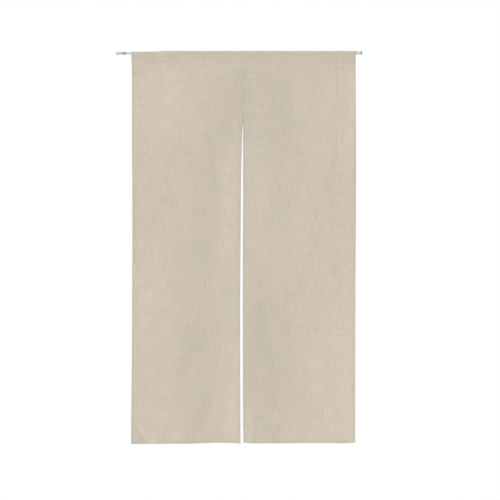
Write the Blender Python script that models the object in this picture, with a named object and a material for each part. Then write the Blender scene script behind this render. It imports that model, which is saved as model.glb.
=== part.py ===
# A noren: two widths of linen-look cloth, sewn edge to edge above a long slit, hung from a
# telescoping tension rod that runs through the pocket along their top.
#
# Metres. +X is to the right as the curtain is looked at, +Y is away and +Z is up. The origin
# is on the axis of the rod's thicker tube, half way across the cloth. A drop is a distance
# measured down the cloth from the fold over the rod.

import math
from collections import namedtuple

import bmesh
import bpy

# Cloth: one layer, and a hem with its edge turned in
DROP = 1.4876
CLOTH = 0.0010
HEM = 0.0017
HEM_WIDTH = 0.010
HEM_STEP = 0.0015
POCKET_DEPTH = 0.044
SLIT_TOP = 0.286
LAYER_GAP = 0.0003
REST_GAP = 0.00045
COLUMN_PITCH = 0.030
ROW_PITCH = 0.040
ARC_STEPS = 12

# Rod
OUTER_RADIUS = 0.0060
OUTER_BORE = 0.0049
INNER_RADIUS = 0.00425
INNER_BORE = 0.0034
ROD_LEFT = -0.4832
ROD_RIGHT = 0.4500
MOUTH = -0.290
OVERLAP = 0.060
DROOP = math.radians(0.45)
CLEARANCE = 0.0003
FOOT_CLEARANCE = 0.0005
FOOT_RADIUS = 0.0054
FOOT_LENGTH = 0.0165
FOOT_END = 0.0030
COLLAR_RADIUS = 0.0055
COLLAR_LEFT = -0.4593
COLLAR_LENGTH = 0.0130
CAP_RADIUS = 0.0067
CAP_LENGTH = 0.0064
CAP_END = 0.0022
ROUNDING = 0.0007
ROUNDING_STEPS = 3
ROUND_STEPS = 36
SHARP_EDGE = math.radians(40.0)
MERGE_DISTANCE = 1e-6

# How far past the thicker tube's mouth the cloth stays clear of it, and how long it takes to
# come down to the thinner tube.
MOUTH_CLEARANCE = 0.008
MOUTH_SLOPE = 0.040

# The cloth's upright edges, as X at each drop. Above SLIT_TOP the slit is only a seam.
Section = namedtuple("Section", "drop left slit_centre slit_width right")
EDGES = (
    Section(0.000, -0.4255, -0.0004, 0.0003, 0.4260),
    Section(0.042, -0.4238, -0.0004, 0.0003, 0.4254),
    Section(0.100, -0.4226, -0.0005, 0.0003, 0.4252),
    Section(0.286, -0.4231, -0.0006, 0.0003, 0.4263),
    Section(0.326, -0.4228, -0.0014, 0.0037, 0.4265),
    Section(0.370, -0.4224, -0.0030, 0.0055, 0.4266),
    Section(0.460, -0.4216, -0.0041, 0.0081, 0.4266),
    Section(0.640, -0.4213, -0.0058, 0.0083, 0.4260),
    Section(0.780, -0.4213, -0.0068, 0.0087, 0.4252),
    Section(0.960, -0.4221, -0.0075, 0.0100, 0.4245),
    Section(1.140, -0.4229, -0.0072, 0.0103, 0.4243),
    Section(1.320, -0.4247, -0.0068, 0.0100, 0.4239),
    Section(1.488, -0.4259, -0.0057, 0.0106, 0.4237),
)

PANEL_EDGES = {"left": ("left", "slit_left"), "right": ("slit_right", "right")}

# How far the bottom edge lies above a level line at the full drop, at each X.
Lift = namedtuple("Lift", "x height")
HEM_LIFTS = (
    Lift(-0.426, -0.0015),
    Lift(-0.274, -0.0008),
    Lift(-0.202, -0.0004),
    Lift(-0.149, 0.0008),
    Lift(-0.104, 0.0020),
    Lift(-0.058, 0.0017),
    Lift(-0.020, 0.0000),
    Lift(-0.011, 0.0000),
    Lift(0.000, 0.0026),
    Lift(0.021, 0.0005),
    Lift(0.158, 0.0002),
    Lift(0.306, 0.0008),
    Lift(0.385, 0.0004),
    Lift(0.412, 0.0023),
    Lift(0.424, 0.0040),
)

# The folds: the panel, the X of the middle at its upper and lower end, how far out it is
# steepest, how far it stands towards the viewer (a trough is negative), and the drops between
# which it shows. A fold that crosses the seam is on both panels.
Fold = namedtuple("Fold", "panel x_above x_below reach height drop_from drop_to")
FOLDS = {
    "swell below the pocket": Fold("both", -0.150, -0.155, 0.122, 0.0072, -0.10, 0.42),
    "left edge, drawn back": Fold("left", -0.460, -0.460, 0.110, -0.0038, -0.10, 0.44),
    "swell left of the seam": Fold("both", -0.045, -0.045, 0.050, 0.0012, -0.06, 0.25),
    "trough beside the slit": Fold("left", -0.078, -0.120, 0.045, -0.0026, 0.26, 0.90),
    "swell in the left panel": Fold("left", -0.270, -0.275, 0.085, 0.0040, 0.66, 1.24),
    "trough above the left hem": Fold("left", -0.080, -0.072, 0.085, -0.0052, 1.00, 1.68),
    "swell above the left hem": Fold("left", -0.262, -0.262, 0.055, 0.0014, 1.26, 1.70),
    "left corner at the slit": Fold("left", -0.010, -0.010, 0.045, 0.0013, 1.26, 1.70),
    "left outer corner": Fold("left", -0.426, -0.426, 0.022, 0.0022, 1.38, 1.70),
    "swell beside the seam": Fold("both", 0.098, 0.098, 0.045, 0.0014, 0.06, 0.72),
    "trough, upper right": Fold("right", 0.205, 0.205, 0.090, -0.0028, -0.06, 0.50),
    "right edge, forward": Fold("right", 0.440, 0.440, 0.030, 0.0033, -0.10, 0.48),
    "right edge, lower part": Fold("right", 0.440, 0.440, 0.028, 0.0010, 0.32, 1.75),
    "slit edge, forward": Fold("right", -0.010, -0.010, 0.075, 0.0050, 0.74, 1.46),
    "wide trough, right": Fold("right", 0.225, 0.245, 0.135, -0.0070, 0.88, 1.75),
    "right corner at the slit": Fold("right", -0.006, -0.006, 0.026, -0.0014, 1.26, 1.70),
}
# The lengths over which a fold rises at its ends, and over which all of them rise below the
# pocket.
FOLD_FADE = 0.16
POCKET_FADE = 0.06

MATERIALS = {
    "linen": ((0.58, 0.50, 0.41, 1.0), 0.92, 0.0),
    "painted_tube": ((0.70, 0.70, 0.67, 1.0), 0.38, 0.0),
    "foot_plastic": ((0.63, 0.63, 0.61, 1.0), 0.55, 0.0),
    "grey_rubber": ((0.36, 0.36, 0.35, 1.0), 0.75, 0.0),
}


def clear_scene():
    for old in list(bpy.data.objects):
        bpy.data.objects.remove(old)


def material(name):
    colour, roughness, metallic = MATERIALS[name]
    made = bpy.data.materials.get(name) or bpy.data.materials.new(name)
    made.use_nodes = True
    shader = made.node_tree.nodes["Principled BSDF"]
    shader.inputs["Base Color"].default_value = colour
    shader.inputs["Roughness"].default_value = roughness
    shader.inputs["Metallic"].default_value = metallic
    return made


def eased(share):
    """0 to 1 with level ends."""
    share = min(max(share, 0.0), 1.0)
    return share * share * (3.0 - 2.0 * share)


def spaced(start, end, pitch):
    """Evenly spaced values from start to end, about a pitch apart."""
    count = max(1, round(abs(end - start) / pitch))
    return [start + (end - start) * i / count for i in range(count + 1)]


def read(rows, name, at):
    """The smooth curve through one column of a table, read at a value of its first column."""
    places = [row[0] for row in rows]
    values = [getattr(row, name) for row in rows]
    at = min(max(at, places[0]), places[-1])
    i = max(k for k in range(len(rows) - 1) if places[k] <= at)

    def slope(k):
        before, after = max(k - 1, 0), min(k + 1, len(rows) - 1)
        return (values[after] - values[before]) / (places[after] - places[before])

    run = places[i + 1] - places[i]
    t = (at - places[i]) / run
    bend_in = slope(i) * run * t * (1.0 - t) ** 2
    bend_out = slope(i + 1) * run * t * t * (1.0 - t)
    return values[i] + (values[i + 1] - values[i]) * eased(t) + bend_in - bend_out


def edge(name, drop):
    """The X of one of the four upright edges of the two panels."""
    if name in ("left", "right"):
        return read(EDGES, name, drop)
    width = max(read(EDGES, "slit_width", drop), LAYER_GAP)
    side = -0.5 if name == "slit_left" else 0.5
    return read(EDGES, "slit_centre", drop) + side * width


def fold_height(side, x, drop):
    """How far one panel's cloth stands towards the viewer, from all its folds together."""
    total = 0.0
    for fold in FOLDS.values():
        if fold.panel not in (side, "both"):
            continue
        down = (drop - fold.drop_from) / (fold.drop_to - fold.drop_from)
        middle = fold.x_above + (fold.x_below - fold.x_above) * min(max(down, 0.0), 1.0)
        above = eased((drop - fold.drop_from) / FOLD_FADE)
        below = eased((fold.drop_to - drop) / FOLD_FADE)
        across = math.exp(-0.5 * ((x - middle) / fold.reach) ** 2)
        total += fold.height * above * below * across
    return total * eased((drop - POCKET_DEPTH) / POCKET_FADE)


def rod_axis(x):
    """The height of the rod's axis: the thinner tube sinks away from the thicker one."""
    return min(0.0, math.tan(DROOP) * (x - (MOUTH + 0.5 * OVERLAP)))


def pocket_top(x):
    """The axis that the pocket's fold turns about at x, and its outer radius."""
    start = MOUTH - MOUTH_CLEARANCE - MOUTH_SLOPE
    share = eased((x - start) / MOUTH_SLOPE)
    radius = INNER_RADIUS + (OUTER_RADIUS - INNER_RADIUS) * share
    return rod_axis(x) * (1.0 - share), radius + REST_GAP + CLOTH


def hem_level(x):
    """The height of the bottom edge."""
    level_top = OUTER_RADIUS + REST_GAP + CLOTH
    return level_top - DROP + read(HEM_LIFTS, "height", x)


def cloth_rows():
    """The rows of the sheet from its bottom edge up the front, over the rod and down behind."""
    hem_top = DROP - HEM_WIDTH
    drops = [DROP, hem_top]
    drops += spaced(hem_top - HEM_STEP, SLIT_TOP, ROW_PITCH)
    drops += spaced(SLIT_TOP, POCKET_DEPTH, ROW_PITCH)[1:]
    over = [("over", math.pi * i / ARC_STEPS) for i in range(ARC_STEPS + 1)]
    return [("front", drop) for drop in drops] + over + [("behind", POCKET_DEPTH)]


def cloth_columns(width):
    """The columns across a panel, each a share of its width and an offset from there."""
    margin = HEM_WIDTH + HEM_STEP
    left = [(0.0, 0.0), (0.0, HEM_WIDTH), (0.0, margin)]
    right = [(1.0, -offset) for _, offset in reversed(left)]
    shares = spaced(margin / width, 1.0 - margin / width, COLUMN_PITCH / width)
    return left + [(share, 0.0) for share in shares[1:-1]] + right


def in_hem(row, column):
    kind, value = row
    share, offset = column
    if kind == "over":
        return False
    beside = share in (0.0, 1.0) and abs(offset) <= HEM_WIDTH
    return beside or (kind == "front" and value >= DROP - HEM_WIDTH)


def cloth_point(side, row, column):
    """A point on the outer face of the cloth: the front, the top of the fold or its back."""
    kind, value = row
    share, offset = column
    drop = 0.0 if kind == "over" else value
    left, right = [edge(name, drop) for name in PANEL_EDGES[side]]
    x = left + share * (right - left) + offset
    axis, radius = pocket_top(x)
    if kind == "over":
        return x, -radius * math.cos(value), axis + radius * math.sin(value)
    full_length = axis + radius - hem_level(x)
    front = -HEM - 0.5 * LAYER_GAP - fold_height(side, x, drop)
    layers = 2.0 * (HEM if in_hem(row, column) else CLOTH) + LAYER_GAP
    y = front if kind == "front" else front + layers
    return x, y, axis + radius - full_length * drop / DROP


def panel(side):
    """One width of cloth: a sheet that goes up, over the rod and down to its row of stitches."""
    name = f"panel_{side}"
    left, right = [edge(edge_name, 0.0) for edge_name in PANEL_EDGES[side]]
    rows, columns = cloth_rows(), cloth_columns(right - left)
    bm = bmesh.new()
    grid = []
    for row in rows:
        grid.append([bm.verts.new(cloth_point(side, row, column)) for column in columns])
    for low, high in zip(grid, grid[1:]):
        for i in range(len(columns) - 1):
            bm.faces.new((low[i], low[i + 1], high[i + 1], high[i]))
    mesh = bpy.data.meshes.new(name)
    bm.to_mesh(mesh)
    bm.free()
    mesh.shade_smooth()
    mesh.materials.append(material("linen"))
    sheet = bpy.data.objects.new(name, mesh)
    bpy.context.scene.collection.objects.link(sheet)

    hems = sheet.vertex_groups.new(name="hems")
    flags = [in_hem(row, column) for row in rows for column in columns]
    hems.add([i for i, flag in enumerate(flags) if flag], 1.0, "REPLACE")
    cloth = sheet.modifiers.new("cloth", "SOLIDIFY")
    cloth.thickness = HEM
    cloth.offset = -1.0
    cloth.vertex_group = hems.name
    cloth.thickness_vertex_group = CLOTH / HEM


def turned(name, outline, material_name):
    """A round piece about the local Z axis, from its outline as (radius, height) points."""
    bm = bmesh.new()
    points = [bm.verts.new((radius, 0.0, height)) for radius, height in outline]
    rim = [bm.edges.new(pair) for pair in zip(points, points[1:] + points[:1])]
    on_axis = [e for e in rim if max(v.co.x for v in e.verts) == 0.0]
    for e in on_axis:
        bm.edges.remove(e)
    bmesh.ops.spin(
        bm,
        geom=bm.verts[:] + bm.edges[:],
        cent=(0.0, 0.0, 0.0),
        axis=(0.0, 0.0, 1.0),
        angle=math.tau,
        steps=ROUND_STEPS,
        use_merge=True,
    )
    bmesh.ops.remove_doubles(bm, verts=bm.verts[:], dist=MERGE_DISTANCE)
    bmesh.ops.recalc_face_normals(bm, faces=bm.faces[:])
    mesh = bpy.data.meshes.new(name)
    bm.to_mesh(mesh)
    bm.free()
    mesh.shade_smooth()
    mesh.set_sharp_from_angle(angle=SHARP_EDGE)
    mesh.materials.append(material(material_name))
    made = bpy.data.objects.new(name, mesh)
    bpy.context.scene.collection.objects.link(made)
    return made


def lay_along_x(piece, x, height=0.0, tilt=0.0):
    """Turns the local Z axis to +X, sinking towards the left by the tilt."""
    piece.location = (x, 0.0, height)
    piece.rotation_euler = (0.0, math.pi / 2.0 - tilt, 0.0)


def tube_outline(length, radius, bore):
    return [(radius, 0.0), (radius, length), (bore, length), (bore, 0.0)]


def cup_outline(length, radius, bore, end):
    """A cup whose closed end is at height 0, with a rounded outer edge."""
    corner = []
    for i in range(ROUNDING_STEPS + 1):
        turn = math.pi / 2.0 * i / ROUNDING_STEPS
        out, up = ROUNDING * math.sin(turn), ROUNDING * math.cos(turn)
        corner.append((radius - ROUNDING + out, ROUNDING - up))
    return [(0.0, 0.0)] + corner + [(radius, length), (bore, length), (bore, end), (0.0, end)]


def outer_tube():
    length = ROD_RIGHT - CAP_END - CLEARANCE - MOUTH
    tube = turned("rod_outer", tube_outline(length, OUTER_RADIUS, OUTER_BORE), "painted_tube")
    lay_along_x(tube, MOUTH)


def inner_tube():
    left = ROD_LEFT + FOOT_END + FOOT_CLEARANCE
    length = (MOUTH + OVERLAP - left) / math.cos(DROOP)
    tube = turned("rod_inner", tube_outline(length, INNER_RADIUS, INNER_BORE), "painted_tube")
    lay_along_x(tube, left, rod_axis(left), DROOP)


def left_foot():
    bore = INNER_RADIUS + FOOT_CLEARANCE
    foot = turned("foot_left", cup_outline(FOOT_LENGTH, FOOT_RADIUS, bore, FOOT_END), "foot_plastic")
    lay_along_x(foot, ROD_LEFT, rod_axis(ROD_LEFT + 0.5 * FOOT_LENGTH))


def left_collar():
    bore = INNER_RADIUS + CLEARANCE
    collar = turned("collar_left", tube_outline(COLLAR_LENGTH, COLLAR_RADIUS, bore), "grey_rubber")
    lay_along_x(collar, COLLAR_LEFT, rod_axis(COLLAR_LEFT), DROOP)


def right_cap():
    bore = OUTER_RADIUS + CLEARANCE
    cap = turned("cap_right", cup_outline(CAP_LENGTH, CAP_RADIUS, bore, CAP_END), "grey_rubber")
    lay_along_x(cap, ROD_RIGHT, tilt=math.pi)


clear_scene()
panel("left")
panel("right")
outer_tube()
inner_tube()
left_foot()
left_collar()
right_cap()
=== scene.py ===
import math
from collections import namedtuple

import bmesh
import bpy
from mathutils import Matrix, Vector, noise


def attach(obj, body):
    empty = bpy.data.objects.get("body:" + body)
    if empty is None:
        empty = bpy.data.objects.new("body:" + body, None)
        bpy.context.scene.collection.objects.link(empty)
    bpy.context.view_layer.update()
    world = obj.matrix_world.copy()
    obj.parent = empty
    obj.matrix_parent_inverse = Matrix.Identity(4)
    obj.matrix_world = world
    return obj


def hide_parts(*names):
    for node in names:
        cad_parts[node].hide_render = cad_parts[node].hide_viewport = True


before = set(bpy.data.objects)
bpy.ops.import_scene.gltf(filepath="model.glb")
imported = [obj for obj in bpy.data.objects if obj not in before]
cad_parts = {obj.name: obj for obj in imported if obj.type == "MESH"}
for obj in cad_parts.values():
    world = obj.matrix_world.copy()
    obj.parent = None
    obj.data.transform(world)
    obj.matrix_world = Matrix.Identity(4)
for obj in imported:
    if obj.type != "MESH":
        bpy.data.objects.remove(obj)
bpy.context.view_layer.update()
print("frame loaded:", ", ".join(sorted(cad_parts)))


# Small helpers

def eased(share):
    share = min(max(share, 0.0), 1.0)
    return share * share * (3.0 - 2.0 * share)


def spaced(start, end, pitch):
    count = max(1, round(abs(end - start) / pitch))
    return [start + (end - start) * i / count for i in range(count + 1)]


def bell(distance, reach):
    return math.exp(-0.5 * (distance / reach) ** 2)


def readTable(rows, name, at):
    # The smooth curve through one column, read at a value of the first column
    places = [row[0] for row in rows]
    values = [getattr(row, name) for row in rows]
    at = min(max(at, places[0]), places[-1])
    i = max(k for k in range(len(rows) - 1) if places[k] <= at)

    def slope(k):
        before, after = max(k - 1, 0), min(k + 1, len(rows) - 1)
        return (values[after] - values[before]) / (places[after] - places[before])

    run = places[i + 1] - places[i]
    t = (at - places[i]) / run
    bendIn = slope(i) * run * t * (1.0 - t) ** 2
    bendOut = slope(i + 1) * run * t * t * (1.0 - t)
    return values[i] + (values[i + 1] - values[i]) * eased(t) + bendIn - bendOut


def addObject(name, mesh, material):
    mesh.materials.append(material)
    made = bpy.data.objects.new(name, mesh)
    bpy.context.scene.collection.objects.link(made)
    return made


# Materials: a few node helpers, then one function for each finish

class Nodes:
    # A new material whose nodes are added by short calls
    def __init__(self, name):
        self.material = bpy.data.materials.new(name)
        self.material.use_nodes = True
        self.tree = self.material.node_tree
        self.shader = self.tree.nodes["Principled BSDF"]

    def add(self, kind, **settings):
        node = self.tree.nodes.new("ShaderNode" + kind)
        for name, value in settings.items():
            setattr(node, name, value)
        return node

    def plug(self, socket, value):
        if isinstance(value, bpy.types.NodeSocket):
            self.tree.links.new(value, socket)
        else:
            socket.default_value = value

    def maths(self, operation, *values):
        node = self.add("Math", operation=operation)
        for socket, value in zip(node.inputs, values):
            self.plug(socket, value)
        return node.outputs[0]

    def place(self, x, y, z=0.0):
        node = self.add("CombineXYZ")
        for socket, value in zip(node.inputs, (x, y, z)):
            self.plug(socket, value)
        return node.outputs[0]

    def noise(self, place, scale=1.0, detail=2.0):
        node = self.add("TexNoise")
        self.plug(node.inputs["Vector"], place)
        node.inputs["Scale"].default_value = scale
        node.inputs["Detail"].default_value = detail
        return node.outputs["Fac"]

    def ramp(self, value, stops):
        node = self.add("ValToRGB")
        self.plug(node.inputs[0], value)
        for element, (position, colour) in zip(node.color_ramp.elements, stops):
            element.position = position
            element.color = (*colour, 1.0)
        return node.outputs["Color"]

    def mixed(self, share, first, second):
        node = self.add("Mix", data_type="RGBA")
        sockets = [node.inputs[i] for i in (0, 6, 7)]  # the share and the two colours
        for socket, value in zip(sockets, (share, first, second)):
            if isinstance(value, tuple):
                value = (*value, 1.0)
            self.plug(socket, value)
        return node.outputs[2]  # the colour

    def bump(self, height, distance, under=None):
        node = self.add("Bump")
        node.inputs["Distance"].default_value = distance
        self.plug(node.inputs["Height"], height)
        if under is not None:
            self.plug(node.inputs["Normal"], under)
        return node.outputs["Normal"]


linen = {
    "colour": (0.629, 0.556, 0.455),
    "paintedLayerShade": (0.930, 0.962, 0.962),  # of the colour: painted shade where two or three layers, or the rod behind them, keep light from coming through
    "yarn": 0.00078,  # from one yarn to the next
    "patchSize": 0.060,
    "patchSeed": 5.0,
    "patchShade": 0.05,  # how much the patches lighten and darken the colour
    "pitShade": 0.14,  # and the painted shade in the pits between the yarns, with painted light on their hills
    "weaveDepth": 0.00022,
    "slubDepth": 0.00022,
    "roughness": 0.93,
    "specular": 0.18,
    "sheen": 0.10,
}


# Uneven yarns: which way they run, how wide and long each unevenness is, the seed of its noise
# and how much it lightens and darkens the colour
Streak = namedtuple("Streak", "along width length seed shade")
streaks = {
    "warp slubs": Streak("warp", 0.0013, 0.050, 3.0, 0.40),
    "weft slubs": Streak("weft", 0.0013, 0.050, 11.0, 0.30),
    "warp yarns": Streak("warp", linen["yarn"], 0.015, 23.0, 0.18),
    "weft yarns": Streak("weft", linen["yarn"], 0.015, 31.0, 0.18),
    "warp bands": Streak("warp", 0.0045, 0.140, 41.0, 0.10),
    "weft bands": Streak("weft", 0.0045, 0.140, 47.0, 0.11),
}


def streakNoise(nodes, streak, across, down):
    # Noise that is fine across the yarns and long along them, about 0.5 on average
    fine, long = (across, down) if streak.along == "warp" else (down, across)
    width = nodes.maths("DIVIDE", fine, streak.width)
    length = nodes.maths("DIVIDE", long, streak.length)
    return nodes.noise(nodes.place(width, length, streak.seed))


def shadedBy(nodes, layer, amount, shade):
    return nodes.maths("MULTIPLY_ADD", nodes.maths("SUBTRACT", layer, 0.5), amount, shade)


def plainWeave(nodes, across, down, pitch):
    # A hill at every crossing, along the warp and along the weft by turns, and a pit at each corner
    warpWave = nodes.maths("SINE", nodes.maths("MULTIPLY", across, math.pi / pitch))
    weftWave = nodes.maths("SINE", nodes.maths("MULTIPLY", down, math.pi / pitch))
    turns = nodes.maths("MULTIPLY", warpWave, weftWave)
    warpOnTop = nodes.maths("MULTIPLY_ADD", turns, 0.5, 0.5)
    weftOnTop = nodes.maths("SUBTRACT", 1.0, warpOnTop)
    warpHill = nodes.maths("MULTIPLY", nodes.maths("ABSOLUTE", warpWave), warpOnTop)
    weftHill = nodes.maths("MULTIPLY", nodes.maths("ABSOLUTE", weftWave), weftOnTop)
    return nodes.maths("MAXIMUM", warpHill, weftHill)


def makeLinen():
    nodes = Nodes("linen")
    plan = nodes.add("SeparateXYZ")
    nodes.plug(plan.inputs[0], nodes.add("UVMap", uv_map="weave").outputs[0])
    across, down = plan.outputs[0], plan.outputs[1]

    uneven = {name: streakNoise(nodes, streak, across, down) for name, streak in streaks.items()}
    patch = nodes.noise(nodes.place(across, down, linen["patchSeed"]), 1.0 / linen["patchSize"])
    weave = plainWeave(nodes, across, down, linen["yarn"])

    shade = 1.0
    for name, streak in streaks.items():
        shade = shadedBy(nodes, uneven[name], streak.shade, shade)
    shade = shadedBy(nodes, patch, linen["patchShade"], shade)
    # Painted shade in the pits of the weave, and painted light on its hills
    shade = shadedBy(nodes, weave, linen["pitShade"], shade)

    # The painted shade kept in the mesh's layers attribute darkens the colour where layers or the rod
    # keep light from coming through
    layers = nodes.add("Attribute", attribute_name="layers").outputs["Fac"]
    paintedShadeColour = tuple(part * share for part, share in zip(linen["colour"], linen["paintedLayerShade"]))
    colour = nodes.mixed(layers, linen["colour"], paintedShadeColour)
    scaled = nodes.add("VectorMath", operation="SCALE")
    nodes.plug(scaled.inputs[0], colour)
    nodes.plug(scaled.inputs["Scale"], shade)
    nodes.plug(nodes.shader.inputs["Base Color"], scaled.outputs[0])

    weaveBump = nodes.bump(weave, linen["weaveDepth"])
    slubs = nodes.maths("ADD", uneven["warp slubs"], uneven["weft slubs"])
    nodes.plug(nodes.shader.inputs["Normal"], nodes.bump(slubs, linen["slubDepth"], under=weaveBump))

    nodes.shader.inputs["Roughness"].default_value = linen["roughness"]
    nodes.shader.inputs["Specular IOR Level"].default_value = linen["specular"]
    nodes.shader.inputs["Sheen Weight"].default_value = linen["sheen"]
    return nodes.material


thread = {
    "colour": (0.640, 0.573, 0.465),
    "shadedColour": (0.565, 0.502, 0.405),
    "ply": 0.0007,  # length of one turn of its plies
    "depth": 0.00005,
    "roughness": 0.75,
}


def makeThread():
    nodes = Nodes("thread")
    place = nodes.add("TexCoord").outputs["Object"]
    mottle = nodes.noise(place, 1.0 / thread["ply"])
    colour = nodes.mixed(mottle, thread["shadedColour"], thread["colour"])
    nodes.plug(nodes.shader.inputs["Base Color"], colour)
    nodes.plug(nodes.shader.inputs["Normal"], nodes.bump(mottle, thread["depth"]))
    nodes.shader.inputs["Roughness"].default_value = thread["roughness"]
    return nodes.material


def makeFinish(name, look):
    # A painted, moulded or rubber surface: grain in its colour, its roughness and its relief
    nodes = Nodes(name)
    place = nodes.add("TexCoord").outputs["Object"]
    grain = nodes.noise(place, 1.0 / look["grain"], detail=3.0)
    cloud = nodes.noise(place, 1.0 / look["cloud"])
    tone = nodes.maths("ADD", nodes.maths("MULTIPLY", grain, 0.5), nodes.maths("MULTIPLY", cloud, 0.5))
    darkest, lightest = 0.3, 0.7  # the noise seldom goes past these
    colour = nodes.ramp(tone, ((darkest, look["dark"]), (lightest, look["light"])))
    nodes.plug(nodes.shader.inputs["Base Color"], colour)
    low, high = look["roughness"]
    nodes.plug(nodes.shader.inputs["Roughness"], nodes.maths("MULTIPLY_ADD", cloud, high - low, low))
    nodes.plug(nodes.shader.inputs["Normal"], nodes.bump(grain, look["depth"]))
    return nodes.material


rodFinishes = {
    "painted_tube": {
        "nodes": ("rod_outer", "rod_inner"),
        "dark": (0.68, 0.68, 0.65),
        "light": (0.75, 0.75, 0.72),
        "grain": 0.0009,
        "cloud": 0.030,
        "roughness": (0.28, 0.42),
        "depth": 0.00002,
    },
    "foot_plastic": {
        "nodes": ("foot_left",),
        "dark": (0.61, 0.61, 0.585),
        "light": (0.67, 0.67, 0.645),
        "grain": 0.0006,
        "cloud": 0.010,
        "roughness": (0.50, 0.62),
        "depth": 0.00004,
    },
    "grey_rubber": {
        "nodes": ("collar_left", "cap_right"),
        "dark": (0.38, 0.38, 0.37),
        "light": (0.45, 0.45, 0.44),
        "grain": 0.0005,
        "cloud": 0.008,
        "roughness": (0.70, 0.85),
        "depth": 0.00005,
    },
}

linenMaterial = makeLinen()
threadMaterial = makeThread()
for finishName, finishLook in rodFinishes.items():
    finish = makeFinish(finishName, finishLook)
    for nodeName in finishLook["nodes"]:
        for materialSlot in bpy.data.objects[nodeName].material_slots:
            materialSlot.material = finish
print("materials made")


# The cloth's shape: the folds and outer edges of its solids, with a finer reading of the slit, which
# is up to 1.2 mm narrower here, and with the finer creases added

cloth = {
    "drop": 1.4876,
    "layer": 0.0006,
    "hem": 0.0017,  # three layers
    "wrap": 0.00075,  # the same where they are pulled tight over the rod
    "hemWidth": 0.010,
    "hemStep": 0.001,  # the slope at the inner edge of a hem
    "stitchInset": 0.0086,  # from the edge of a hem to its stitches
    "groove": 0.00018,  # how deep the stitches draw the cloth in
    "grooveReach": 0.0011,
    "pocketGroove": 1.4,  # times as deep at the pocket's stitches
    "pocketGrooveReach": 0.0016,
    "edgeRound": 0.00080,
    "seamRound": 0.00022,
    "seamReach": 0.1,  # from X 0, past which an edge is an outer one
    "slitRounding": 0.012,  # how far below its top the slit's edges get their full rounding
    "rodRounding": 0.6,  # how much less rounding the edges have over the rod
    "rodRoundingDrop": 0.010,
    "pocketDepth": 0.044,
    "pocketEdge": 0.0462,  # where the turned-in edge of the back layer ends
    "turnedIn": 0.008,  # how far up from the stitches it reaches
    "turnedInLayers": 0.7,
    "backGap": 0.00006,  # between the pocket's layers at the stitches
    "backStart": 0.0105,  # where the back layer leaves the rod
    "slitTop": 0.281,
    "widthDrop": 0.6,  # where a panel's width is read for the weave
    "columnPitch": 0.0042,
    "rowPitch": 0.0046,
    "pocketRowPitch": 0.0036,
    "pocketMargin": 0.004,  # between the rows at the pocket's stitches and the others
    "arcSteps": 18,
    "foldFade": 0.16,
    "pocketFade": 0.06,
    "frontFace": -0.00185,
    "flat": (0.462, 1.568),  # a panel's cut size, before its hems are turned
}
rod = {
    "outerRadius": 0.0060,
    "innerRadius": 0.00425,
    "gap": 0.00010,  # between a tube and the cloth
    "mouth": -0.290,  # the thicker tube's end
    "mouthClearance": 0.008,
    "overlap": 0.060,
    "droop": math.tan(math.radians(0.45)),
    "slope": 0.040,  # where the cloth comes down from the thicker tube to the thinner one
}

Section = namedtuple("Section", "drop left slitCentre slitWidth right")
edges = (
    Section(0.000, -0.4255, -0.0006, 0.0000, 0.4260),
    Section(0.042, -0.4238, -0.0006, 0.0000, 0.4254),
    Section(0.100, -0.4226, -0.0008, 0.0000, 0.4252),
    Section(0.281, -0.4231, -0.0020, 0.0000, 0.4263),
    Section(0.290, -0.4231, -0.0022, 0.0013, 0.4263),
    Section(0.326, -0.4228, -0.0032, 0.0031, 0.4265),
    Section(0.370, -0.4224, -0.0038, 0.0044, 0.4266),
    Section(0.460, -0.4216, -0.0049, 0.0070, 0.4266),
    Section(0.640, -0.4213, -0.0060, 0.0081, 0.4260),
    Section(0.780, -0.4213, -0.0068, 0.0085, 0.4252),
    Section(0.960, -0.4221, -0.0075, 0.0098, 0.4245),
    Section(1.140, -0.4229, -0.0073, 0.0100, 0.4243),
    Section(1.320, -0.4247, -0.0068, 0.0099, 0.4239),
    Section(1.488, -0.4259, -0.0057, 0.0105, 0.4237),
)
panelEdges = {"left": ("left", "slitLeft"), "right": ("slitRight", "right")}

# How far the bottom edge lies above a level line, at each X
Lift = namedtuple("Lift", "x height")
hemLifts = (
    Lift(-0.426, -0.0015),
    Lift(-0.274, -0.0008),
    Lift(-0.202, -0.0004),
    Lift(-0.149, 0.0008),
    Lift(-0.104, 0.0020),
    Lift(-0.058, 0.0017),
    Lift(-0.020, 0.0000),
    Lift(-0.011, 0.0000),
    Lift(0.000, 0.0026),
    Lift(0.021, 0.0005),
    Lift(0.158, 0.0002),
    Lift(0.306, 0.0008),
    Lift(0.385, 0.0004),
    Lift(0.412, 0.0023),
    Lift(0.424, 0.0040),
)

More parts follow.
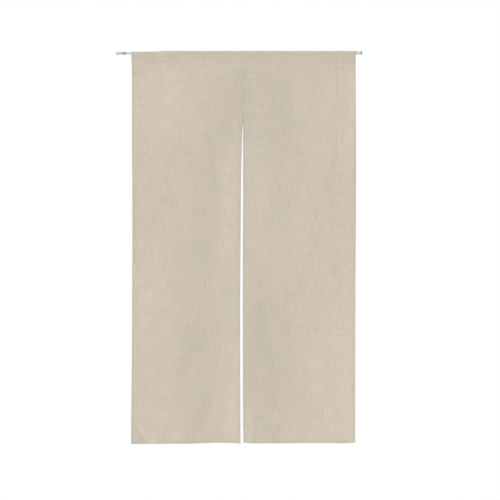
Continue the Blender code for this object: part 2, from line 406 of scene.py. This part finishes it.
# A fold's panel, the X of its middle above and below, where it is steepest, how far it stands
# towards the viewer (a trough is negative), and the drops between which it shows
Fold = namedtuple("Fold", "panel xAbove xBelow reach height dropFrom dropTo")
folds = {
    "swell below the pocket": Fold("both", -0.150, -0.155, 0.122, 0.0072, -0.10, 0.42),
    "left edge, drawn back": Fold("left", -0.460, -0.460, 0.110, -0.0038, -0.10, 0.44),
    "swell left of the seam": Fold("both", -0.045, -0.045, 0.050, 0.0012, -0.06, 0.25),
    "trough beside the slit": Fold("left", -0.078, -0.120, 0.045, -0.0026, 0.26, 0.90),
    "swell in the left panel": Fold("left", -0.270, -0.275, 0.085, 0.0040, 0.66, 1.24),
    "trough above the left hem": Fold("left", -0.080, -0.072, 0.085, -0.0052, 1.00, 1.68),
    "swell above the left hem": Fold("left", -0.262, -0.262, 0.055, 0.0014, 1.26, 1.70),
    "left corner at the slit": Fold("left", -0.010, -0.010, 0.045, 0.0013, 1.26, 1.70),
    "left outer corner": Fold("left", -0.426, -0.426, 0.022, 0.0022, 1.38, 1.70),
    "swell beside the seam": Fold("both", 0.098, 0.098, 0.045, 0.0014, 0.06, 0.72),
    "trough, upper right": Fold("right", 0.205, 0.205, 0.090, -0.0028, -0.06, 0.50),
    "right edge, forward": Fold("right", 0.440, 0.440, 0.030, 0.0033, -0.10, 0.48),
    "right edge, lower part": Fold("right", 0.440, 0.440, 0.028, 0.0010, 0.32, 1.75),
    "slit edge, forward": Fold("right", -0.010, -0.010, 0.075, 0.0050, 0.74, 1.46),
    "wide trough, right": Fold("right", 0.225, 0.245, 0.135, -0.0070, 0.88, 1.75),
    "right corner at the slit": Fold("right", -0.006, -0.006, 0.026, -0.0014, 1.26, 1.70),
}
# The narrow creases that lie on the folds, with a fade of their own length
creases = {
    "long crease, upper right": Fold("right", 0.362, 0.360, 0.0055, -0.00030, 0.02, 0.20),
    "long crease, lower part": Fold("right", 0.3555, 0.352, 0.0055, -0.00028, 0.18, 0.46),
    "corner crease, left": Fold("left", -0.434, -0.311, 0.0090, -0.0009, 1.395, 1.53),
    "slanting crease, left hem": Fold("left", -0.104, -0.147, 0.0080, -0.0004, 1.30, 1.41),
    "crease beside the slit": Fold("right", 0.036, 0.033, 0.010, 0.0005, 1.33, 1.62),
}
creaseFade = 0.045
ripple = {
    "broad": 0.00055,
    "broadSize": (0.055, 0.150),  # across and down
    "broadSeed": 2.0,
    "fine": 0.00016,
    "fineSize": (0.016, 0.030),
    "fineSeed": 7.0,
    "pucker": 0.00022,  # along the stitches of a hem
    "puckerSize": (0.014, 0.05),  # down and across
    "puckerSeed": 13.0,
    "puckerReach": 0.010,
}


def edgeX(name, drop):
    if name in ("left", "right"):
        return readTable(edges, name, drop)
    width = max(readTable(edges, "slitWidth", drop), 0.0)
    if drop < cloth["slitTop"]:
        width = 0.0
    side = -0.5 if name == "slitLeft" else 0.5
    return readTable(edges, "slitCentre", drop) + side * width


def foldHeight(table, fade, side, x, drop):
    total = 0.0
    for fold in table.values():
        if fold.panel not in (side, "both") or not fold.dropFrom < drop < fold.dropTo:
            continue
        down = (drop - fold.dropFrom) / (fold.dropTo - fold.dropFrom)
        middle = fold.xAbove + (fold.xBelow - fold.xAbove) * down
        above = eased((drop - fold.dropFrom) / fade)
        below = eased((fold.dropTo - drop) / fade)
        total += fold.height * above * below * bell(x - middle, fold.reach)
    return total


def waviness(amount, size, first, second, seed):
    return amount * noise.noise(Vector((first / size[0], second / size[1], seed)))


def standing(side, x, drop, edgeDistance):
    # How far the cloth stands towards the viewer below the pocket
    release = eased((drop - cloth["pocketDepth"]) / cloth["pocketFade"])
    total = release * foldHeight(folds, cloth["foldFade"], side, x, drop)
    total += foldHeight(creases, creaseFade, side, x, drop)
    total += release * waviness(ripple["broad"], ripple["broadSize"], x, drop, ripple["broadSeed"])
    total += waviness(ripple["fine"], ripple["fineSize"], x, drop, ripple["fineSeed"])
    pucker = ripple["pucker"] * bell(edgeDistance, ripple["puckerReach"])
    return total + waviness(pucker, ripple["puckerSize"], drop, x, ripple["puckerSeed"])


def rodAxis(x):
    return min(0.0, rod["droop"] * (x - (rod["mouth"] + 0.5 * rod["overlap"])))


def pocketTop(x):
    # The axis that the pocket's fold turns about, and its outer radius
    slopeStart = rod["mouth"] - rod["mouthClearance"] - rod["slope"]
    share = eased((x - slopeStart) / rod["slope"])
    radius = rod["innerRadius"] + (rod["outerRadius"] - rod["innerRadius"]) * share
    return rodAxis(x) * (1.0 - share), radius + rod["gap"] + cloth["wrap"]


def hemLevel(x):
    levelTop = rod["outerRadius"] + rod["gap"] + cloth["wrap"]
    return levelTop - cloth["drop"] + readTable(hemLifts, "height", x)


def rounding(distance, bend=cloth["edgeRound"]):
    # How far a face draws back near a folded edge
    short = min(max(bend - distance, 0.0), bend)
    return bend - math.sqrt(bend * bend - short * short)


def sideRounding(x, drop, edgeDistance):
    # Less of it where the two panels are sewn edge to edge, and over the rod
    bend = cloth["edgeRound"]
    if abs(x) < cloth["seamReach"]:
        opened = eased((drop - cloth["slitTop"]) / cloth["slitRounding"])
        bend = cloth["seamRound"] + (bend - cloth["seamRound"]) * opened
    overRod = 1.0 - eased(drop / cloth["rodRoundingDrop"])
    return rounding(edgeDistance, bend * (1.0 - cloth["rodRounding"] * overRod))


def layersAt(edgeDistance, bottomDistance=math.inf, turnedIn=0.0):
    # The share of the way from one layer to a hem's three, with a short slope at its inner edge
    distance = min(edgeDistance, bottomDistance)
    beside = 1.0 - eased((distance - cloth["hemWidth"]) / cloth["hemStep"])
    return max(beside, turnedIn)


def thicknessAt(layers):
    return cloth["layer"] + (cloth["hem"] - cloth["layer"]) * layers


# How much painted shade each part of the cloth takes
shades = {
    "fold": 1.0,  # of the painted shade colour, in the outer part of a hem
    "foldWidth": 0.0052,
    "hem": 0.45,  # and in the rest of it
    "seam": 0.15,  # of both, where the two panels are sewn together
    "rod": 0.70,  # painted shadow in front of the rod
    "rodDrop": 0.014,
    "pocket": 0.10,  # and in the rest of the pocket
    "blend": 0.0016,
}


def shadeAt(x, drop, edgeDistance, bottomDistance):
    # How far the colour goes to the darker one, painted shade where less light comes through the
    # layers or past the rod
    distance = min(edgeDistance, bottomDistance)
    blend = shades["blend"]
    hem = shades["hem"] * (1.0 - eased((distance - cloth["hemWidth"]) / blend))
    fold = (shades["fold"] - shades["hem"]) * (1.0 - eased((distance - shades["foldWidth"]) / blend))
    total = hem + fold
    if drop < cloth["slitTop"] and abs(x) < cloth["seamReach"]:
        total *= shades["seam"]
    # Painted shadow of the rod behind the pocket, and painted shade of the pocket's two layers below
    # it
    belowRod = eased(drop / shades["rodDrop"] - 1.0)
    pocket = shades["pocket"] + (shades["rod"] - shades["pocket"]) * (1.0 - belowRod)
    pocket *= 1.0 - eased((drop - cloth["pocketDepth"]) / blend)
    return max(total, pocket)


def frontPoint(side, x, drop, edgeDistance):
    # A point on the front face, below the rod
    axis, radius = pocketTop(x)
    top = axis + radius
    z = top - (top - hemLevel(x)) * drop / cloth["drop"]
    start = radius / (top - hemLevel(x)) * cloth["drop"]  # the drop at the rod's axis
    share = min(max((drop - start) / (cloth["pocketDepth"] - start), 0.0), 1.0)
    y = -radius + (cloth["frontFace"] + radius) * share
    y -= share * standing(side, x, drop, edgeDistance)
    bottomDistance = cloth["drop"] - drop
    for distance in (edgeDistance, bottomDistance):
        y += cloth["groove"] * bell(distance - cloth["stitchInset"], cloth["grooveReach"])
    y += rounding(bottomDistance) + sideRounding(x, drop, edgeDistance)
    pocketGroove = cloth["pocketGroove"] * cloth["groove"]
    y += pocketGroove * bell(drop - cloth["pocketDepth"], cloth["pocketGrooveReach"])
    return Vector((x, y, z))


# Rows and columns stand close where a hem's shape changes, and beside the pocket's stitches
insets = (0.0, 0.0003, 0.0008, 0.0024, 0.0046, 0.0070, 0.0086, 0.0099, 0.0109, 0.0128)
besideStitches = (0.0018, 0.0008, 0.0, -0.0008, -0.0018)


def clothColumns(width):
    left = [(0.0, inset) for inset in insets]
    right = [(1.0, -inset) for inset in reversed(insets)]
    margin = insets[-1] / width
    between = spaced(margin, 1.0 - margin, cloth["columnPitch"] / width)[1:-1]
    return left + [(share, 0.0) for share in between] + right


def clothRows():
    # From the bottom edge up the front, over the rod and down behind to the turned-in edge
    low = [("front", cloth["drop"] - inset) for inset in insets]
    seam = cloth["pocketDepth"]
    aboveHem = spaced(cloth["drop"] - insets[-1], cloth["slitTop"], cloth["rowPitch"])[1:]
    toPocket = spaced(cloth["slitTop"], seam + cloth["pocketMargin"], cloth["rowPitch"])[1:]
    near = [seam + distance for distance in besideStitches]
    pocket = spaced(seam - cloth["pocketMargin"], cloth["backStart"], cloth["pocketRowPitch"])
    front = [("front", drop) for drop in aboveHem + toPocket + near + pocket]
    over = [("over", math.pi * i / cloth["arcSteps"]) for i in range(cloth["arcSteps"] + 1)]
    back = [("behind", drop) for drop in reversed(pocket)]
    back += [("behind", drop) for drop in reversed(near)]
    return low + front + over + back + [("behind", cloth["pocketEdge"])]


def clothPoints(side, row, column):
    # The outer and inner point of the cloth at a row and column, its place on the flat cloth
    # and its painted shade
    kind, value = row
    share, offset = column
    drop = 0.0 if kind == "over" else value
    left, right = [edgeX(name, drop) for name in panelEdges[side]]
    x = left + share * (right - left) + offset
    edgeDistance = min(x - left, right - x)
    axis, radius = pocketTop(x)
    leftFlat, rightFlat = [edgeX(name, cloth["widthDrop"]) for name in panelEdges[side]]
    u = share * (rightFlat - leftFlat) + offset
    sideEdge = sideRounding(x, drop, edgeDistance)
    layers = layersAt(edgeDistance, cloth["drop"] - drop)
    shade = shadeAt(x, drop, edgeDistance, cloth["drop"] - drop)
    thickness = thicknessAt(layers) - 2.0 * sideEdge
    if kind == "over":
        turned = radius - sideEdge
        thickness = cloth["wrap"] - 2.0 * sideEdge
        outward = Vector((0.0, -math.cos(value), math.sin(value)))
        centre = Vector((x, 0.0, axis))
        v = radius * (1.0 - value)
        return centre + outward * turned, centre + outward * (turned - thickness), (u, v), shade
    front = frontPoint(side, x, drop, edgeDistance)
    if kind == "front":
        thickness -= 2.0 * rounding(cloth["drop"] - drop)
        return front, front + Vector((0.0, thickness, 0.0)), (u, drop), shade
    # The back layer hangs from the rod's far side and meets the front one at the stitches
    start = cloth["backStart"]
    share = eased((drop - start) / (cloth["pocketDepth"] - start))
    endRound = rounding(cloth["pocketEdge"] - drop)
    turnedIn = 1.0 - eased((cloth["pocketDepth"] - cloth["turnedIn"] - drop) / cloth["hemStep"])
    layers = layersAt(edgeDistance, turnedIn=cloth["turnedInLayers"] * turnedIn)
    thickness = thicknessAt(layers) - 2.0 * (sideEdge + endRound)
    frontLayer = thicknessAt(layersAt(edgeDistance))
    meeting = front.y - sideEdge + frontLayer + cloth["backGap"] + thicknessAt(layers)
    outerY = radius - (radius - meeting) * share - sideEdge - endRound
    outer = Vector((x, outerY, front.z))
    v = radius * (2.0 - math.pi) - drop
    return outer, outer - Vector((0.0, thickness, 0.0)), (u, v), shade


def panelMesh(side):
    rows = clothRows()
    left, right = [edgeX(name, 0.0) for name in panelEdges[side]]
    columns = clothColumns(right - left)
    grid = [[clothPoints(side, row, column) for column in columns] for row in rows]
    high, wide = len(rows), len(columns)
    bm = bmesh.new()
    uvLayer = bm.loops.layers.uv.new("weave")
    # Each vertex's painted shade from shadeAt, kept in the layers attribute
    paintedShadeLayer = bm.verts.layers.float.new("layers")
    faces = []
    for depth in (0, 1):
        sheet = []
        for line in grid:
            verts = []
            for point in line:
                vert = bm.verts.new(point[depth])
                vert[paintedShadeLayer] = point[3]
                verts.append((vert, point[2]))
            sheet.append(verts)
        faces.append(sheet)

    def quad(corners):
        face = bm.faces.new([vert for vert, _ in corners])
        face.smooth = True
        for loop, (_, place) in zip(face.loops, corners):
            loop[uvLayer].uv = place

    outer, inner = faces
    for i in range(high - 1):
        for j in range(wide - 1):
            quad((outer[i][j], outer[i][j + 1], outer[i + 1][j + 1], outer[i + 1][j]))
            quad((inner[i][j], inner[i + 1][j], inner[i + 1][j + 1], inner[i][j + 1]))
    for i in range(high - 1):
        quad((outer[i][0], outer[i + 1][0], inner[i + 1][0], inner[i][0]))
        quad((outer[i + 1][-1], outer[i][-1], inner[i][-1], inner[i + 1][-1]))
    for j in range(wide - 1):
        quad((outer[0][j + 1], outer[0][j], inner[0][j], inner[0][j + 1]))
        quad((outer[-1][j], outer[-1][j + 1], inner[-1][j + 1], inner[-1][j]))
    mesh = bpy.data.meshes.new(f"cloth_{side}")
    bm.to_mesh(mesh)
    bm.free()
    return mesh


# Stitches: short capsules whose ends dip into the cloth, joined into one mesh for each panel

stitch = {
    "pitch": 0.0031,
    "length": 0.0025,
    "radius": 0.00022,
    "sides": 5,
    "firstDrop": 0.012,  # where the upright rows start, just below the rod
    "widthDrop": 1.0,  # where a panel's width is read for the level rows
    # For each ring: the share of the stitch's length, the radii its centre lies off the cloth, and
    # its share of the radius
    "rings": ((0.0, -0.7, 0.6), (0.22, 0.35, 1.0), (0.78, 0.35, 1.0), (1.0, -0.7, 0.6)),
}


def addStitch(bm, start, end, outward, radius):
    # One stitch from start to end on the cloth's face
    along = end - start
    across = along.cross(outward).normalized()
    sides = stitch["sides"]
    rings = []
    for share, lift, size in stitch["rings"]:
        centre = start + along * share + outward * (radius * lift)
        ring = []
        for k in range(sides):
            turn = math.tau * k / sides
            spoke = across * math.cos(turn) + outward * math.sin(turn)
            ring.append(bm.verts.new(centre + spoke * (radius * size)))
        rings.append(ring)
    for low, high in zip(rings, rings[1:]):
        for k in range(sides):
            following = (k + 1) % sides
            face = bm.faces.new((low[k], low[following], high[following], high[k]))
            face.smooth = True
    bm.faces.new(list(reversed(rings[0])))
    bm.faces.new(rings[-1])


def facePoint(side, share, offset, drop, behind):
    kind = "behind" if behind == "pocket" else "front"
    outer, inner, _, _ = clothPoints(side, (kind, drop), (share, offset))
    return inner if behind == "cloth" else outer


def stitchLine(bm, side, places, behind):
    # A row of stitches through (share, offset, drop) places, on the front or behind
    outward = Vector((0.0, 1.0 if behind else -1.0, 0.0))
    points = [facePoint(side, *place, behind) for place in places]
    gap = 0.5 * (1.0 - stitch["length"] / stitch["pitch"])
    for first, second in zip(points, points[1:]):
        start, end = first.lerp(second, gap), first.lerp(second, 1.0 - gap)
        addStitch(bm, start, end, outward, stitch["radius"])


def stitchMesh(side):
    bm = bmesh.new()
    inset = cloth["stitchInset"]
    bottom = cloth["drop"] - inset
    left, right = [edgeX(name, stitch["widthDrop"]) for name in panelEdges[side]]
    width = right - left
    edge = inset / width
    upright = spaced(stitch["firstDrop"], bottom, stitch["pitch"])
    level = spaced(edge, 1.0 - edge, stitch["pitch"] / width)
    for behind in (None, "cloth"):
        for share, offset in ((0.0, inset), (1.0, -inset)):
            stitchLine(bm, side, [(share, offset, drop) for drop in upright], behind)
        stitchLine(bm, side, [(share, 0.0, bottom) for share in level], behind)
    for behind in (None, "pocket"):
        stitchLine(bm, side, [(share, 0.0, cloth["pocketDepth"]) for share in level], behind)
    mesh = bpy.data.meshes.new(f"stitches_{side}")
    bm.to_mesh(mesh)
    bm.free()
    return mesh


seam = {
    "pitch": 0.0040,
    "reach": 0.0016,
    "slant": 0.3,  # of the pitch
    "inset": 0.0012,
    "radius": 0.00022,
    "tackTop": 0.248,
    "tackBottom": 0.280,
    "tackPitch": 0.0007,
    "tackReach": 0.0021,
    "tackInset": 0.0010,
    "tackRadius": 0.00032,
}


def seamMesh():
    # The threads that join the two panels above the slit, and the bar of close stitches at its top
    bm = bmesh.new()
    reach = Vector((seam["reach"], 0.0, seam["slant"] * seam["pitch"]))
    for drop in spaced(stitch["firstDrop"], seam["tackTop"], seam["pitch"]):
        middle = facePoint("left", 1.0, -seam["inset"], drop, "cloth")
        middle.x = edgeX("slitLeft", drop)
        addStitch(bm, middle - reach, middle + reach, Vector((0.0, 1.0, 0.0)), seam["radius"])
    reach = Vector((seam["tackReach"], 0.0, 0.0))
    for behind in (None, "cloth"):
        outward = Vector((0.0, 1.0 if behind else -1.0, 0.0))
        for drop in spaced(seam["tackTop"], seam["tackBottom"], seam["tackPitch"]):
            middle = facePoint("left", 1.0, -seam["tackInset"], drop, behind)
            middle.x = edgeX("slitLeft", drop)
            addStitch(bm, middle - reach, middle + reach, outward, seam["tackRadius"])
    mesh = bpy.data.meshes.new("seam_threads")
    bm.to_mesh(mesh)
    bm.free()
    return mesh


stitches = {}
panels = {}
for side in ("left", "right"):
    stitches[side] = addObject(f"hem_stitches_{side}", stitchMesh(side), threadMaterial)
    panels[side] = addObject(f"linen_panel_{side}", panelMesh(side), linenMaterial)
    print("panel made:", side, len(panels[side].data.polygons), "faces")
seamThreads = addObject("seam_threads", seamMesh(), threadMaterial)

for side, panel in panels.items():
    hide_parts(f"panel_{side}")
    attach(panel, "root")
    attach(stitches[side], "root")
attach(seamThreads, "root")
print("cloth declared")


# Floor, light and camera

studio = {
    "floorLevel": -2.05,
    "floorHalfWidth": 2.4,
    "floorFront": -2.4,
    "floorBack": 1.6,
    "floorColour": (0.74, 0.74, 0.73, 1.0),
    "floorRoughness": 0.8,
    "backgroundStrength": 1.0,
    "ambientStrength": 0.35,
    "keyTurn": -63.0,  # degrees round from straight in front, negative to the left
    "keyRise": 8.0,
    "keyStrength": 4.10,
    "keySpread": 24.0,
    "fillTurn": 55.0,
    "fillRise": 0.0,
    "fillStrength": 0.35,
    "fillSpread": 50.0,
    "backTurn": 160.0,
    "backRise": 10.0,
    "backStrength": 1.8,
    "backSpread": 50.0,
    "lampDistance": 4.0,
}
camera = {
    "lens": 85.0,
    "sensor": 36.0,
    "frameWidth": 1.895,  # metres across the picture at the cloth
    "middleX": 0.0253,
    "middleZ": -0.7474,
}


def makeFloor():
    half, level = studio["floorHalfWidth"], studio["floorLevel"]
    corners = [
        (-half, studio["floorFront"], level),
        (half, studio["floorFront"], level),
        (half, studio["floorBack"], level),
        (-half, studio["floorBack"], level),
    ]
    mesh = bpy.data.meshes.new("floor")
    mesh.from_pydata(corners, [], [(0, 1, 2, 3)])
    nodes = Nodes("pale_floor")
    nodes.shader.inputs["Base Color"].default_value = studio["floorColour"]
    nodes.shader.inputs["Roughness"].default_value = studio["floorRoughness"]
    addObject("floor", mesh, nodes.material)


def makeSun(name):
    light = bpy.data.lights.new(name, "SUN")
    light.energy = studio[name + "Strength"]
    light.angle = math.radians(studio[name + "Spread"])
    turn, rise = math.radians(studio[name + "Turn"]), math.radians(studio[name + "Rise"])
    level = math.cos(rise)
    towards = Vector((math.sin(turn) * level, -math.cos(turn) * level, math.sin(rise)))
    lamp = bpy.data.objects.new(name, light)
    lamp.rotation_euler = towards.to_track_quat("Z", "Y").to_euler()
    lamp.location = towards * studio["lampDistance"]
    bpy.context.scene.collection.objects.link(lamp)


def makeWorld():
    # White to the camera, and a softer white as light
    world = bpy.data.worlds.new("studio")
    world.use_nodes = True
    tree = world.node_tree
    background = tree.nodes["Background"]
    background.inputs["Color"].default_value = (1.0, 1.0, 1.0, 1.0)
    seen = tree.nodes.new("ShaderNodeLightPath").outputs["Is Camera Ray"]
    strength = tree.nodes.new("ShaderNodeMapRange")
    strength.inputs["To Min"].default_value = studio["ambientStrength"]
    strength.inputs["To Max"].default_value = studio["backgroundStrength"]
    tree.links.new(seen, strength.inputs["Value"])
    tree.links.new(strength.outputs["Result"], background.inputs["Strength"])
    bpy.context.scene.world = world


def makeCamera():
    data = bpy.data.cameras.new("camera")
    data.lens = camera["lens"]
    data.sensor_width = camera["sensor"]
    away = camera["frameWidth"] * camera["lens"] / camera["sensor"]
    made = bpy.data.objects.new("camera", data)
    made.location = (camera["middleX"], -away, camera["middleZ"])
    made.rotation_euler = (math.pi / 2.0, 0.0, 0.0)
    bpy.context.scene.collection.objects.link(made)
    bpy.context.scene.camera = made


makeFloor()
makeWorld()
for lampName in ("key", "fill", "back"):
    makeSun(lampName)
makeCamera()
bpy.context.scene.view_settings.view_transform = "Standard"
bpy.context.scene.view_settings.look = "None"
print("studio made")
